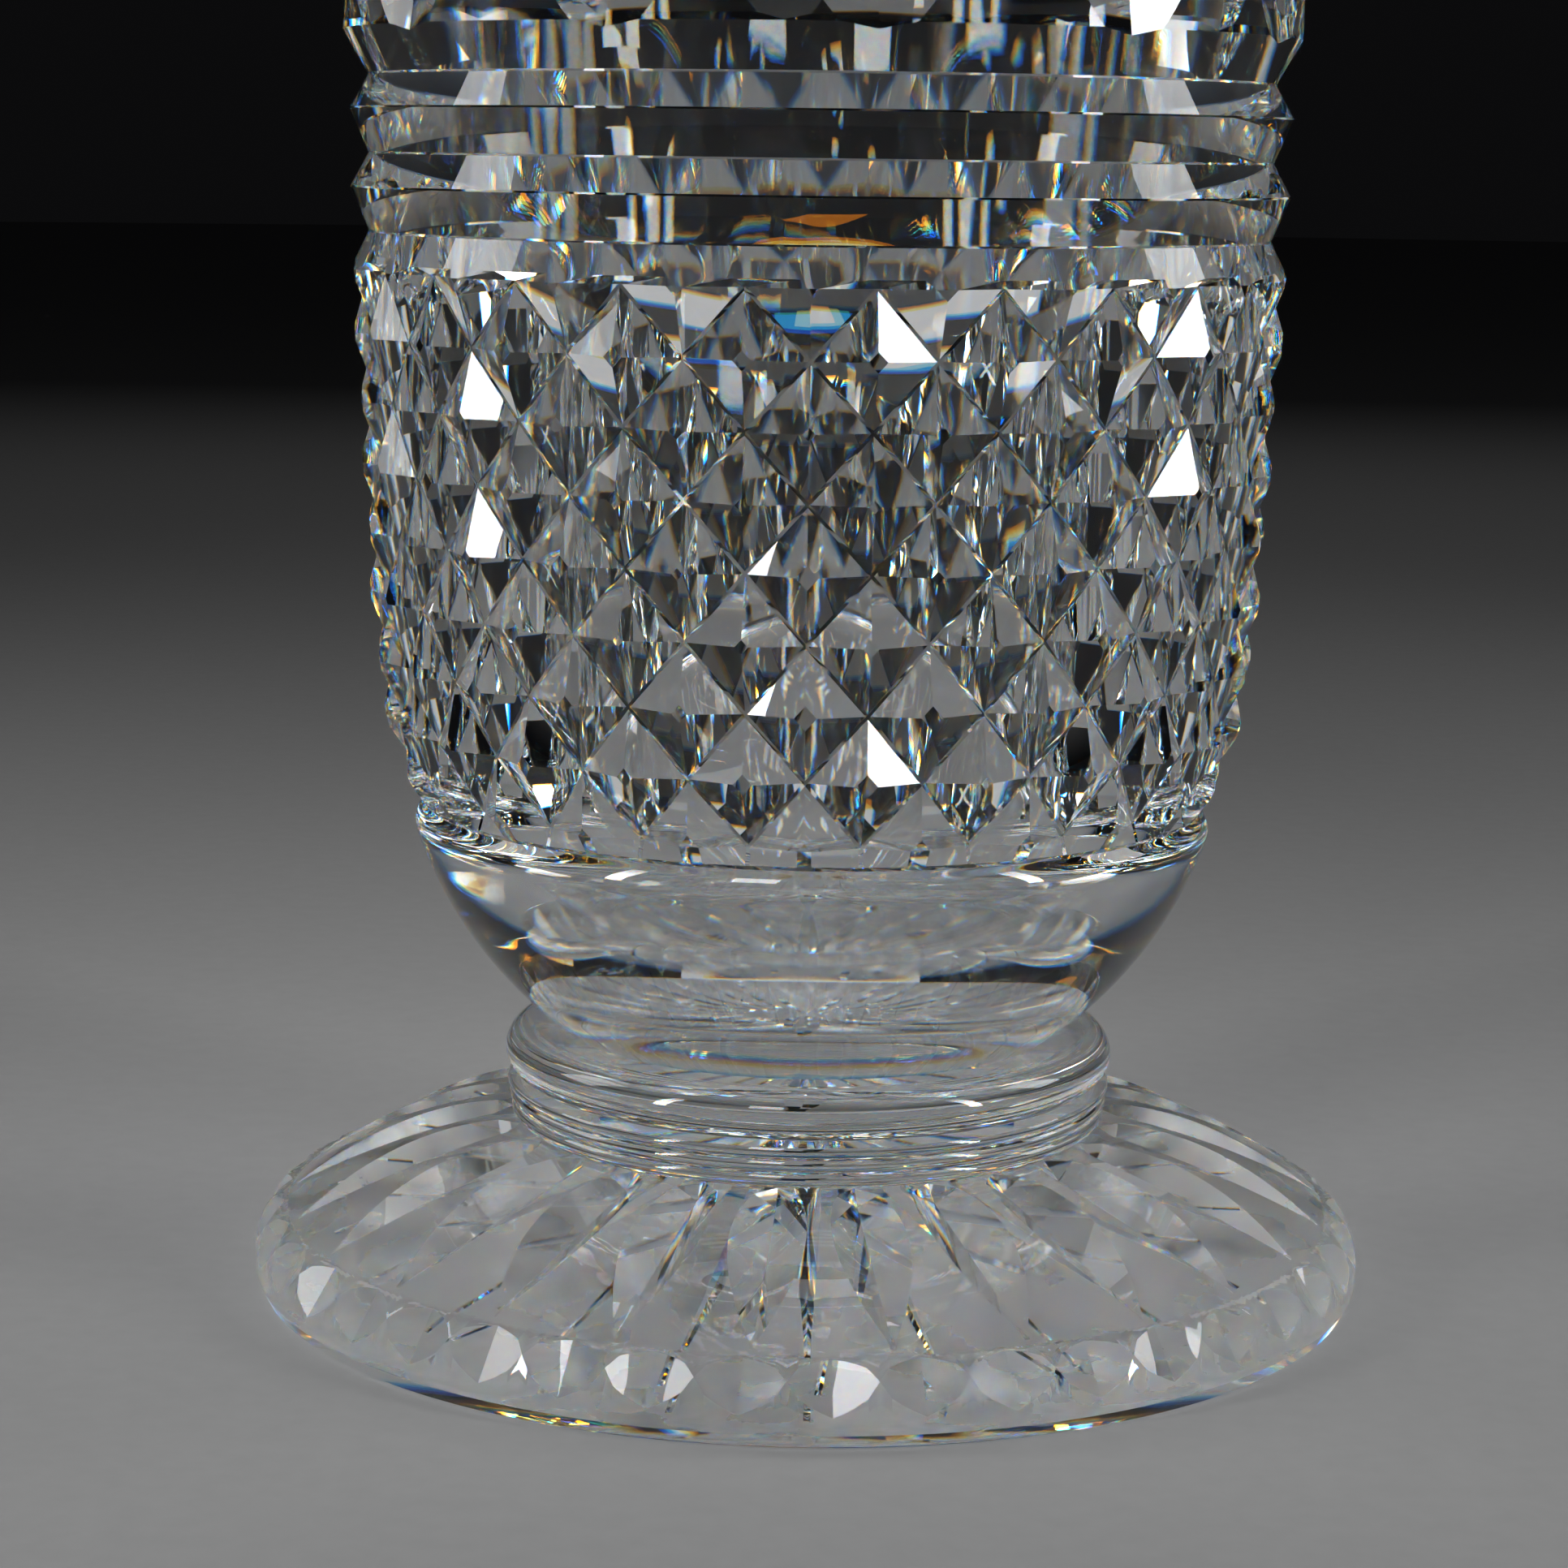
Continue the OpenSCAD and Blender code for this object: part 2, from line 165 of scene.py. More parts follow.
class Shell:
    """A closed skin made ring by ring. Seen from above, rings run anticlockwise, with glass on the left."""

    def __init__(self):
        self.points = []
        self.faces = []
        self.slots = []

    def ring(self, points):
        start = len(self.points)
        self.points.extend(points)
        return list(range(start, len(self.points)))

    def circle(self, r, z, count=ROUND, turn=FRONT):
        return self.ring([polar(r, turn + TURN * k / count, z) for k in range(count)])

    def face(self, corners, slot=0):
        self.faces.append(corners)
        self.slots.append(slot)

    def strip(self, low, high, slot=0):
        n = len(low)
        for k in range(n):
            m = (k + 1) % n
            self.face((low[k], low[m], high[m], high[k]), slot)

    def skin(self, rings, slot=0):
        for low, high in zip(rings, rings[1:]):
            self.strip(low, high, slot)
        return rings[-1]

    def turn_of(self, index):
        x, y, _ = self.points[index]
        return math.degrees(math.atan2(y, x)) % TURN

    def zipped(self, low, high, slot=0):
        """Joins two rings that have different numbers of points."""
        start = self.turn_of(low[0])
        lows = [(self.turn_of(k) - start) % TURN for k in low] + [TURN]

        def away(k):
            return abs((self.turn_of(high[k]) - start + TURN / 2) % TURN - TURN / 2)

        first = min(range(len(high)), key=away)
        high = high[first:] + high[:first]
        begin = (self.turn_of(high[0]) - start + TURN / 2) % TURN - TURN / 2
        own = self.turn_of(high[0])
        highs = [begin + (self.turn_of(k) - own) % TURN for k in high] + [begin + TURN]
        n, m = len(low), len(high)
        i = j = 0
        while i < n or j < m:
            if j == m or (i < n and lows[i + 1] <= highs[j + 1]):
                self.face((low[i], low[(i + 1) % n], high[j % m]), slot)
                i += 1
            else:
                self.face((low[i % n], high[(j + 1) % m], high[j]), slot)
                j += 1
        return high

    def fan_from(self, z, ring, slot=0):
        """Closes the start of the skin: a point on the axis and a first ring."""
        centre = self.ring([(0.0, 0.0, z)])[0]
        n = len(ring)
        for k in range(n):
            self.face((centre, ring[(k + 1) % n], ring[k])[::-1], slot)

    def fan_to(self, z, ring, slot=0):
        """Closes the end of the skin on the axis."""
        centre = self.ring([(0.0, 0.0, z)])[0]
        n = len(ring)
        for k in range(n):
            self.face((ring[k], ring[(k + 1) % n], centre), slot)

    def build(self, name, materials):
        """The skin as a Blender object in metres, smooth except across its cut edges."""
        mesh = bpy.data.meshes.new(name)
        mesh.from_pydata([Vector(p) * MM for p in self.points], [], self.faces)
        for material in materials:
            mesh.materials.append(material)
        mesh.polygons.foreach_set("material_index", self.slots)
        mesh.polygons.foreach_set("use_smooth", [True] * len(self.faces))
        mesh.update()
        mesh.validate()
        mesh.set_sharp_from_angle(angle=SHARP)
        obj = bpy.data.objects.new(name, mesh)
        bpy.context.scene.collection.objects.link(obj)
        return obj


IOR = 1.545
SPREAD = 0.013
JOINT = 1  # the material slot of the faces where two pieces are one glass
GROUND = 2  # the material slot of the worn faces under the foot


# ---- Foot ----

DOME_IN = KNOP_BASE_R
DOME_OUT = FOOT_R - SHOULDER_IN
FLUTE_IN = DOME_IN + 1.0
FLUTE_OUT = DOME_OUT - 1.0
DOME_EDGE = DOME_OUT - 0.7


def dome_z(r):
    t = (r - DOME_IN) / (DOME_OUT - DOME_IN)
    return mix(FOOT_H, SHOULDER_H, t) + 4 * DOME_RISE * t * (1 - t)


def rim_profile():
    """The foot's edge from just above the table to the dome, as close points."""
    lower = [(FOOT_R, mix(FOOT_RIM_H / 2, FOOT_RIM_H, t)) for t in steps(6)]
    quarter = [math.radians(90 * t) for t in steps(40, 1)]
    upper = [
        (DOME_OUT + SHOULDER_IN * math.cos(a), mix(FOOT_RIM_H, SHOULDER_H, math.sin(a)))
        for a in quarter
    ]
    return lower + upper + [(DOME_EDGE, dome_z(DOME_EDGE))]


class Path:
    """A line in a meridian plane, read by the share of its length."""

    def __init__(self, points):
        self.points = points
        self.at_length = [0.0]
        for p, q in zip(points, points[1:]):
            self.at_length.append(self.at_length[-1] + math.dist(p, q))

    def at(self, share):
        want = share * self.at_length[-1]
        for k in range(1, len(self.points)):
            if want <= self.at_length[k] or k == len(self.points) - 1:
                span = self.at_length[k] - self.at_length[k - 1]
                t = (want - self.at_length[k - 1]) / span
                p, q = self.points[k - 1], self.points[k]
                return (mix(p[0], q[0], t), mix(p[1], q[1], t))

    def share_where(self, test, inside, outside):
        """The share between inside and outside where test changes."""
        for _ in range(30):
            middle = (inside + outside) / 2
            if test(self.at(middle)):
                inside = middle
            else:
                outside = middle
        return (inside + outside) / 2


def rim_columns(rng):
    """The foot's edge, cut by wide V notches that touch tip to tip. Returns rings of points, bottom first."""
    path = Path(rim_profile())
    middle_a = math.radians(45)
    touch = (
        DOME_OUT + SHOULDER_IN * math.cos(middle_a),
        mix(FOOT_RIM_H, SHOULDER_H, math.sin(middle_a)),
    )
    lean = math.atan2(SHOULDER_IN, SHOULDER_H - FOOT_RIM_H)
    out = (math.cos(lean), math.sin(lean))
    side_steps = 4
    low_rows, cut_rows, high_rows = 10, 3, 8
    pitch = TURN / NOTCHES
    columns = []
    for n in range(NOTCHES):
        depth = NOTCH_DEPTH * rng.uniform(0.9, 1.08)
        for k in range(-side_steps, side_steps):
            share = abs(k) / side_steps
            sink = depth * (1 - share)

            def cut_away(p, sink=sink):
                return (p[0] - touch[0]) * out[0] + (p[1] - touch[1]) * out[1] > -sink

            at_touch = min(steps(200), key=lambda s: math.dist(path.at(s), touch))
            below = path.share_where(cut_away, at_touch, 0.0) if sink > 0 else at_touch
            above = path.share_where(cut_away, at_touch, 1.0) if sink > 0 else at_touch
            line = [path.at(below * t) for t in steps(low_rows)]
            p, q = path.at(below), path.at(above)
            line += [(mix(p[0], q[0], t), mix(p[1], q[1], t)) for t in steps(cut_rows, 1)]
            line += [path.at(mix(above, 1.0, t)) for t in steps(high_rows, 1)]
            angle = NOTCH_TURN + pitch * (n + k / side_steps / 2)
            columns.append([polar(r, angle, z) for r, z in line])
    return [list(row) for row in zip(*columns)]


def flute_depth(r, depth):
    """How far below the dome the straight flute lies at radius r."""
    low_z = dome_z(FLUTE_IN) - depth
    line = mix(low_z, dome_z(FLUTE_OUT), (r - FLUTE_IN) / (FLUTE_OUT - FLUTE_IN))
    ease_from = DOME_IN + 0.3
    ease_over = 1.2
    run_in = min(1.0, max(0.0, (r - ease_from) / ease_over))
    return max(0.0, dome_z(r) - line) * run_in if r < FLUTE_OUT else 0.0


def dome_ring(r, depths):
    """A ring of points round the dome at radius r, down in the flutes."""
    half = TURN / FLUTES / 2
    land_steps = 3
    slope = math.radians(18)
    widest = half * 0.94
    least = 0.25
    points = []
    for n in range(FLUTES):
        sink = flute_depth(r, depths[n])
        width = sink * math.cos(slope) * math.tan(math.radians(FLUTE_ANGLE / 2))
        edge = min(widest, max(least, math.degrees(width / r)))
        outer = [mix(edge, half, t) for t in steps(land_steps)]
        turns = [-a for a in reversed(outer)] + [0.0] + outer
        for a in turns[:-1]:
            lower = sink if a == 0.0 else 0.0
            points.append(polar(r, FLUTE_TURN + TURN * n / FLUTES + a, dome_z(r) - lower))
    return points


def star_ring(r):
    """A ring of points under the foot at radius r, up in the star's rays."""
    half = TURN / RAYS / 2
    ray_angle = 120.0
    widest = half * 0.98
    least = 0.4
    depth = STAR_DEPTH * max(0.0, 1 - r / STAR_R)
    reach = depth * math.tan(math.radians(ray_angle / 2))
    edge = min(widest, max(least, math.degrees(reach / r)))
    left = max(0.0, depth - math.radians(edge) * r * cot(ray_angle / 2))
    points = []
    for n in range(RAYS):
        for a, z in ((-half, left), (-edge, left), (0.0, depth), (edge, left)):
            points.append(polar(r, FRONT + TURN * n / RAYS + a, z))
    return points


def make_foot(materials):
    rng = random.Random(11)
    shell = Shell()
    star_rows = [2, 4, 7, 11, 16, 22, 28, 34, 40, 46, 51, 54.5, STAR_R - 0.2]
    rings = [shell.ring(star_ring(r)) for r in star_rows]
    shell.fan_from(STAR_DEPTH, rings[0])
    last = shell.skin(rings)
    worn_r = 20.0
    level = 0.001
    for k, corners in enumerate(shell.faces):
        if len(corners) == 4 and max(shell.points[c][2] for c in corners) < level:
            if math.hypot(*shell.points[corners[0]][:2]) > worn_r:
                shell.slots[k] = GROUND
    around = NOTCHES * 8
    land_turn = NOTCH_TURN - TURN / NOTCHES / 2
    star_margin = 2.0
    edge_margin = 4.0
    flat = shell.circle(STAR_R + star_margin, 0.0, around)
    shell.zipped(last, flat, GROUND)
    edge = shell.circle(FOOT_R - FOOT_BEVEL, 0.0, around, land_turn)
    bottom = shell.circle(FOOT_R - edge_margin, 0.0, around, land_turn)
    shell.zipped(flat, bottom, GROUND)
    rows = [shell.ring(row) for row in rim_columns(rng)]
    last = shell.skin([bottom, edge] + rows)
    depths = [FLUTE_DEPTH * rng.uniform(0.85, 1.12) for _ in range(FLUTES)]
    first_step = 0.15
    radii = [mix(DOME_EDGE - first_step, DOME_IN, t) for t in steps(26)]
    dome = [shell.ring(dome_ring(r, depths)) for r in radii]
    shell.zipped(last, dome[0])
    last = shell.skin(dome)
    seat = shell.ring([(x * SEAT, y * SEAT, FOOT_H) for x, y, _ in (shell.points[k] for k in last)])
    shell.strip(last, seat)
    shell.fan_to(FOOT_H, seat, JOINT)
    return shell.build("crystal_foot", materials)


SEAT = (KNOP_BASE_R - REED_RELIEF) / KNOP_BASE_R


# ---- Knop ----


def knop_profile():
    height = NECK_Z - FOOT_H
    bead_share = 0.56
    bead_h = height * bead_share
    bead_w = 3.7
    crease = 0.6
    crease_a = -62
    reed_z = NECK_Z - bead_h
    reed_h = (height - bead_h) / REEDS
    line = []
    for k in range(REEDS):
        for t in steps(14)[:-1]:
            share = (k + t) / REEDS
            slant = mix(KNOP_BASE_R - REED_RELIEF, KNOP_R - crease, share)
            r = slant + REED_RELIEF * math.sin(math.pi * t)
            line.append((r, FOOT_H + (k + t) * reed_h))
    for t in steps(44):
        a = math.radians(mix(crease_a, 90, t))
        r = KNOP_R - bead_w * (1 - math.cos(a))
        line.append((r, reed_z + bead_h * (1 + math.sin(a)) / 2))
    return line


def make_knop(materials):
    shell = Shell()
    rings = [shell.circle(r, z) for r, z in knop_profile()]
    shell.fan_from(FOOT_H, rings[0], JOINT)
    last = shell.skin(rings)
    neck = shell.circle(NECK_R, NECK_Z)
    shell.strip(last, neck)
    shell.fan_to(NECK_Z, neck, JOINT)
    return shell.build("crystal_knop", materials)


# ---- Body ----


def bowl_profile():
    centre = (BEAD_R**2 - NECK_R**2 + BOWL_H**2) / (2 * BOWL_H)
    radius = math.hypot(NECK_R, centre)
    first = math.atan2(-centre, NECK_R)
    last = math.atan2(BOWL_H - centre, BEAD_R)
    return [
        (radius * math.cos(a), NECK_Z + centre + radius * math.sin(a))
        for a in (mix(first, last, t) for t in steps(40))
    ]


def bead_profile():
    bulge = 0.5
    return [
        (BEAD_R - BEAD_GROOVE * t * t + bulge * math.sin(math.pi * t), BEAD_Z + BEAD_H * t)
        for t in steps(24, 1)
    ]


def field_r(z):
    t = 1 - min(1.0, max(0.0, (z - FIELD_Z) / FIELD_H))
    curl_power = 8
    return BODY_R - FIELD_TAPER * t - FIELD_CURL * t**curl_power


class DiamondField:
    """Crossing V grooves leave pyramids with small flat points. Places (i, j) are half diamonds apart."""

    EAST, NORTH, WEST, SOUTH = (1, 0), (0, 1), (-1, 0), (0, -1)

    def __init__(self, shell, rng):
        self.shell = shell
        self.rows = 2 * ROWS
        self.around = 2 * COLUMNS
        self.turn = TURN / self.around
        self.row_h = FIELD_H / self.rows
        self.base = {}
        self.top = {}
        slip = 0.10
        deep = 0.08
        self.slip = {
            (i, j): (rng.uniform(-slip, slip), rng.uniform(-slip, slip), rng.uniform(-deep, deep))
            for j in range(self.rows + 1)
            for i in range(self.around)
        }
        for j in range(self.rows + 1):
            for i in range(self.around):
                if (i + j) % 2:
                    self.place(i, j, rng)
        for j in range(self.rows + 1):
            for i in range(self.around):
                if (i + j) % 2:
                    self.pyramid(i, j)
                    self.grooves(i, j)
                else:
                    self.crossing(i, j)

    def key(self, i, j):
        return (i % self.around, j)

    def ways(self, j):
        """The sides that a diamond in this row has: the first and last rows hold half diamonds."""
        return [
            way
            for way in (self.EAST, self.NORTH, self.WEST, self.SOUTH)
            if 0 <= j + way[1] <= self.rows
        ]

    def place(self, i, j, rng):
        """Adds a diamond's corners in its grooves and round its flat point."""
        z0 = FIELD_Z + j * self.row_h
        r0 = field_r(z0)
        half_w = math.radians(self.turn) * r0
        side = math.hypot(half_w, self.row_h)
        back_x = GROOVE_FLAT / 2 * side / self.row_h
        back_z = GROOVE_FLAT / 2 * side / half_w
        smallest = 0.62
        largest = 1.3
        flat = DIAMOND_FLAT / 2 * rng.uniform(smallest, largest)
        inner = 0 < j < self.rows
        for way in self.ways(j):
            dx, dz = way
            slip_x, slip_z, slip_r = self.slip[self.key(i + dx, j + dz)]
            edge_z = z0 + dz * (self.row_h - back_z) + (slip_z if inner or dz else 0.0)
            edge_a = DIAMOND_TURN + (i + dx) * self.turn - dx * math.degrees(back_x / r0)
            edge_a += math.degrees(slip_x / r0)
            z = min(SHOULDER_Z, max(FIELD_Z, edge_z))
            deep = field_r(z) - DIAMOND_DEPTH + slip_r
            self.base[(self.key(i, j), way)] = self.shell.ring([polar(deep, edge_a, z)])[0]
            top_a = DIAMOND_TURN + i * self.turn + dx * math.degrees(flat / r0)
            top_z = z0 + dz * flat * self.row_h / half_w
            self.top[(self.key(i, j), way)] = self.shell.ring([polar(field_r(top_z), top_a, top_z)])[0]

    def pyramid(self, i, j):
        key = self.key(i, j)
        ways = self.ways(j)
        self.shell.face(tuple(self.top[(key, way)] for way in ways))
        for k in range(len(ways)):
            a, b = ways[k], ways[(k + 1) % len(ways)]
            if a[0] * b[0] == 0:  # not across the cut side of a half diamond
                low = (self.base[(key, a)], self.base[(key, b)])
                self.shell.face(low + (self.top[(key, b)], self.top[(key, a)]))

    def grooves(self, i, j):
        """The narrow groove floors on a diamond's two upper sides."""
        if j == self.rows:
            return
        here, right, left = self.key(i, j), self.key(i + 1, j + 1), self.key(i - 1, j + 1)
        base = self.base
        east, north, west = (base[(here, way)] for way in (self.EAST, self.NORTH, self.WEST))
        self.shell.face((east, base[(right, self.SOUTH)], base[(right, self.WEST)], north))
        self.shell.face((north, base[(left, self.EAST)], base[(left, self.SOUTH)], west))

    def crossing(self, i, j):
        """The small floor where grooves cross."""
        around = (
            (self.EAST, self.WEST),
            (self.NORTH, self.SOUTH),
            (self.WEST, self.EAST),
            (self.SOUTH, self.NORTH),
        )
        corners = [
            self.base[(self.key(i + way[0], j + way[1]), back)]
            for way, back in around
            if 0 <= j + way[1] <= self.rows
        ]
        self.shell.face(tuple(corners))

    def end_ring(self, j):
        """The zigzag edge of the field's first or last row."""
        ring = []
        for i in range(self.around):
            if (i + j) % 2:
                key = self.key(i, j)
                ring += [
                    self.base[(key, self.WEST)],
                    self.top[(key, self.WEST)],
                    self.top[(key, self.EAST)],
                    self.base[(key, self.EAST)],
                ]
        return ring


def ring_profile():
    """The chamfer over the diamonds and the sharp rings, up to the last groove."""
    start = 0.22
    line = [(mix(BODY_R, BODY_R - RING_DEPTH, start), mix(SHOULDER_Z, RING_Z, start))]
    for k in range(RINGS + 1):
        z = RING_Z + k * RING_PITCH
        line += [(BODY_R - RING_DEPTH, z - EDGE_FLAT), (BODY_R - RING_DEPTH, z + EDGE_FLAT)]
        if k < RINGS:
            line += [(BODY_R, z + RING_RISE - EDGE_FLAT), (BODY_R, z + RING_RISE + EDGE_FLAT)]
    return line


def band_r(z):
    return BAND_R + (RIM_R - BAND_R) * (max(0.0, z - BAND_Z) / BAND_H) ** FLARE


class Leaf:
    """The wide mark of a large V-edged wheel between two heights."""

    def __init__(self, low, high, depth):
        self.low, self.high, self.depth = low, high, depth

    def sink(self, z):
        t = (z - self.low) / (self.high - self.low)
        return 4 * self.depth * t * (1 - t) if 0 < t < 1 else 0.0

    def half_turn(self, z):
        """Half the mark's width at a height, as a turn."""
        r = band_r(z)
        c = LEAF_SLOPE
        width = r * (math.sqrt(c * c + 2 * self.sink(z) / r) - c)
        return math.degrees(width / r)

    def sink_at(self, z, turn):
        """The mark's depth beside its middle line."""
        r = band_r(z)
        x = r * math.radians(turn)
        return self.sink(z) - LEAF_SLOPE * x - x * x / (2 * r)


LEAF_SLOPE = cot(LEAF_ANGLE / 2)
LOWER_LEAF = Leaf(BAND_Z - LEAF_DIP, BAND_Z + LEAF_H, LEAF_DEPTH)
UPPER_LEAF = Leaf(BAND_Z + UPPER_LOW, TOP_Z - LEAF_GAP, UPPER_DEPTH)
LOBE_HALF = RIM_R * math.sin(math.pi / LEAVES)
LOBE_R = (LOBE_HALF**2 + LOBE_DEPTH**2) / (2 * LOBE_DEPTH)
HALF_LEAF = TURN / LEAVES / 2
LAND_STEPS = 12
ARRIS = 0.14
LEAST = 0.25


def rim_z(turn):
    """The rim's height at a turn from a lower leaf's middle, between 0 and half a pitch."""
    x = LOBE_HALF * (HALF_LEAF - turn) / HALF_LEAF
    return TOP_Z - LOBE_R + math.sqrt(max(0.0, LOBE_R**2 - x * x))


def half_columns(z_of):
    """(turn, depth) from a lower leaf's middle to an upper one's, along a row of given heights."""
    rounds = 14
    first, last = LEAST, HALF_LEAF - LEAST
    for _ in range(rounds):
        first = max(LEAST, LOWER_LEAF.half_turn(z_of(first)))
        last = min(HALF_LEAF - LEAST, HALF_LEAF - UPPER_LEAF.half_turn(z_of(last)))
    first, last = min(first, HALF_LEAF - LEAST), max(last, LEAST)
    ridge = 0.0
    if last - first < ARRIS:
        meet = (first + last) / 2
        for _ in range(rounds):
            z = z_of(meet)
            r = band_r(z)
            arc = r * math.radians(HALF_LEAF)
            lean = 2 * LEAF_SLOPE + arc / r
            x = arc / 2 + (LOWER_LEAF.sink(z) - UPPER_LEAF.sink(z)) / lean
            meet = min(HALF_LEAF - LEAST, max(LEAST, math.degrees(x / r)))
        ridge = max(0.0, LOWER_LEAF.sink_at(z_of(meet), meet))
        first, last = meet - ARRIS / 2, meet + ARRIS / 2
    land = [(mix(first, last, t), ridge) for t in steps(LAND_STEPS)]
    return [(0.0, LOWER_LEAF.sink(z_of(0.0)))] + land + [(HALF_LEAF, UPPER_LEAF.sink(z_of(HALF_LEAF)))]


def band_ring(row):
    """A ring of points from a row of (turn, radius, height) for half a leaf's pitch."""
    points = []
    for n in range(LEAVES):
        middle = LEAF_TURN + n * TURN / LEAVES
        mirrored = [(-turn, r, z) for turn, r, z in reversed(row[1:])]
        for turn, r, z in mirrored + row[:-1]:
            points.append(polar(r, middle + turn, z))
    return points


def band_row(z_of):
    return [(turn, band_r(z_of(turn)) - sink, z_of(turn)) for turn, sink in half_columns(z_of)]


def level_row(z):
    return band_row(lambda turn: z)


def edge_row():
    """The band's lower edge, where the lower leaves' tips run out over the chamfer below it."""
    low_r, low_z = BODY_R - RING_DEPTH, BAND_Z - RING_RISE + EDGE_FLAT
    rise = (BAND_R - low_r) / (BAND_Z - low_z)
    columns = []
    for turn, sink in half_columns(lambda turn: BAND_Z):
        z = BAND_Z
        if sink > 0:
            for _ in range(30):
                z = BAND_Z - LOWER_LEAF.sink(z) / rise
        columns.append((turn, BAND_R - rise * (BAND_Z - z), z))
    return columns


def groove_row():
    z = BAND_Z - RING_RISE + EDGE_FLAT
    return [(turn, BODY_R - RING_DEPTH, z) for turn, _ in half_columns(lambda turn: BAND_Z)]


def band_heights(top):
    """Level heights up the band, with one at each leaf's tip."""
    even = [mix(BAND_Z, top, t) for t in steps(96, 1)]
    tips = [LOWER_LEAF.high, UPPER_LEAF.low]
    apart = 0.3
    kept = [z for z in even if all(abs(z - tip) > apart for tip in tips)]
    return sorted(kept + tips)


def lobed_rows(start_z, count):
    """Rows that bend from a level ring up to the lobed rim, ending under its round edge."""
    rows = []
    for t in steps(count, 1):
        rows.append(band_row(lambda turn, t=t: mix(start_z, rim_z(turn) - RIM_ROUND, t)))
    return rows


def mouth_r(z):
    t = max(0.0, (z - RING_Z) / (TOP_Z - RING_Z))
    return CAVITY_R + (RIM_R - RIM_WALL - CAVITY_R) * t**FLARE


def rim_rows(turns, count):
    """The rounded edge of the rim, from the outside to the inside."""
    square = 0.6
    rows = []
    for t in steps(count, 1):
        a = math.pi * t
        out = math.copysign(abs(math.cos(a)) ** square, math.cos(a))
        rise = max(0.0, math.sin(a)) ** square
        row = []
        for turn in turns:
            z = rim_z(turn)
            outer, inner = band_r(z - RIM_ROUND), mouth_r(z - RIM_ROUND)
            row.append((turn, mix(inner, outer, (1 + out) / 2), z - RIM_ROUND * (1 - rise)))
        rows.append(row)
    return rows


def inner_rows(turns, end_z, count):
    """The inside of the mouth, from under the rim's edge down to a level ring."""
    rows = []
    for t in steps(count, 1):
        heights = [mix(rim_z(turn) - RIM_ROUND, end_z, t) for turn in turns]
        rows.append([(turn, mouth_r(z), z) for turn, z in zip(turns, heights)])
    return rows


def cavity_profile():
    """The cavity from under the mouth down to its flat floor."""
    low_r = CAVITY_R - CAVITY_TAPER
    turn_z = FIELD_Z + CAVITY_TURN_H
    floor_z = NECK_Z + FLOOR_T
    line = [(mouth_r(z), z) for z in (mix(TOP_Z - MOUTH_DROP, RING_Z, t) for t in steps(40))]
    line += [(mix(CAVITY_R, low_r, t), mix(RING_Z, turn_z, t)) for t in steps(16, 1)]
    for t in steps(48, 1):
        a = math.radians(90 * (1 - t))
        r = FLOOR_R + (low_r - FLOOR_R) * math.sin(a)
        line.append((r, floor_z + (turn_z - floor_z) * (1 - math.cos(a))))
    line += [(FLOOR_R * (1 - t), floor_z - FLOOR_DISH * (1 - (1 - t) ** 2)) for t in steps(10, 1)[:-1]]
    return line


def make_body(materials):
    rng = random.Random(29)
    shell = Shell()
    rings = [shell.circle(r, z) for r, z in bowl_profile() + bead_profile()]
    shell.fan_from(NECK_Z, rings[0], JOINT)
    last = shell.skin(rings)
    field = DiamondField(shell, rng)
    low_edge = field.end_ring(0)
    strip_out = 0.35
    strip_up = 0.5
    strip_r = BEAD_R - BEAD_GROOVE + strip_out
    foot_of_strip = shell.ring([polar(strip_r, shell.turn_of(k), STRIP_Z + strip_up) for k in low_edge])
    shell.zipped(last, foot_of_strip)
    shell.strip(foot_of_strip, low_edge)
    rings = [shell.circle(r, z) for r, z in ring_profile()]
    shell.zipped(field.end_ring(field.rows), rings[0])
    last = shell.skin(rings)
    groove = shell.ring(band_ring([(turn, r, z + HAIR) for turn, r, z in groove_row()]))
    shell.zipped(last, groove)
    lobe_z = TOP_Z - LOBE_DROP
    rows = [edge_row()] + [level_row(z) for z in band_heights(lobe_z)] + lobed_rows(lobe_z, 24)
    turns = [turn for turn, _, _ in rows[-1]]
    rows += rim_rows(turns, 36) + inner_rows(turns, TOP_Z - MOUTH_DROP, 8)
    last = shell.skin([groove] + [shell.ring(band_ring(row)) for row in rows])
    cavity = [shell.circle(r, z - HAIR) for r, z in cavity_profile()]
    shell.zipped(last, cavity[0])
    last = shell.skin(cavity)
    shell.fan_to(NECK_Z + FLOOR_T - FLOOR_DISH, last)
    return shell.build("crystal_body", materials)


# ---- Materials ----


def node_material(name):
    material = bpy.data.materials.new(name)
    material.use_nodes = True
    tree = material.node_tree
    tree.nodes.clear()
    output = tree.nodes.new("ShaderNodeOutputMaterial")
    return material, tree, output


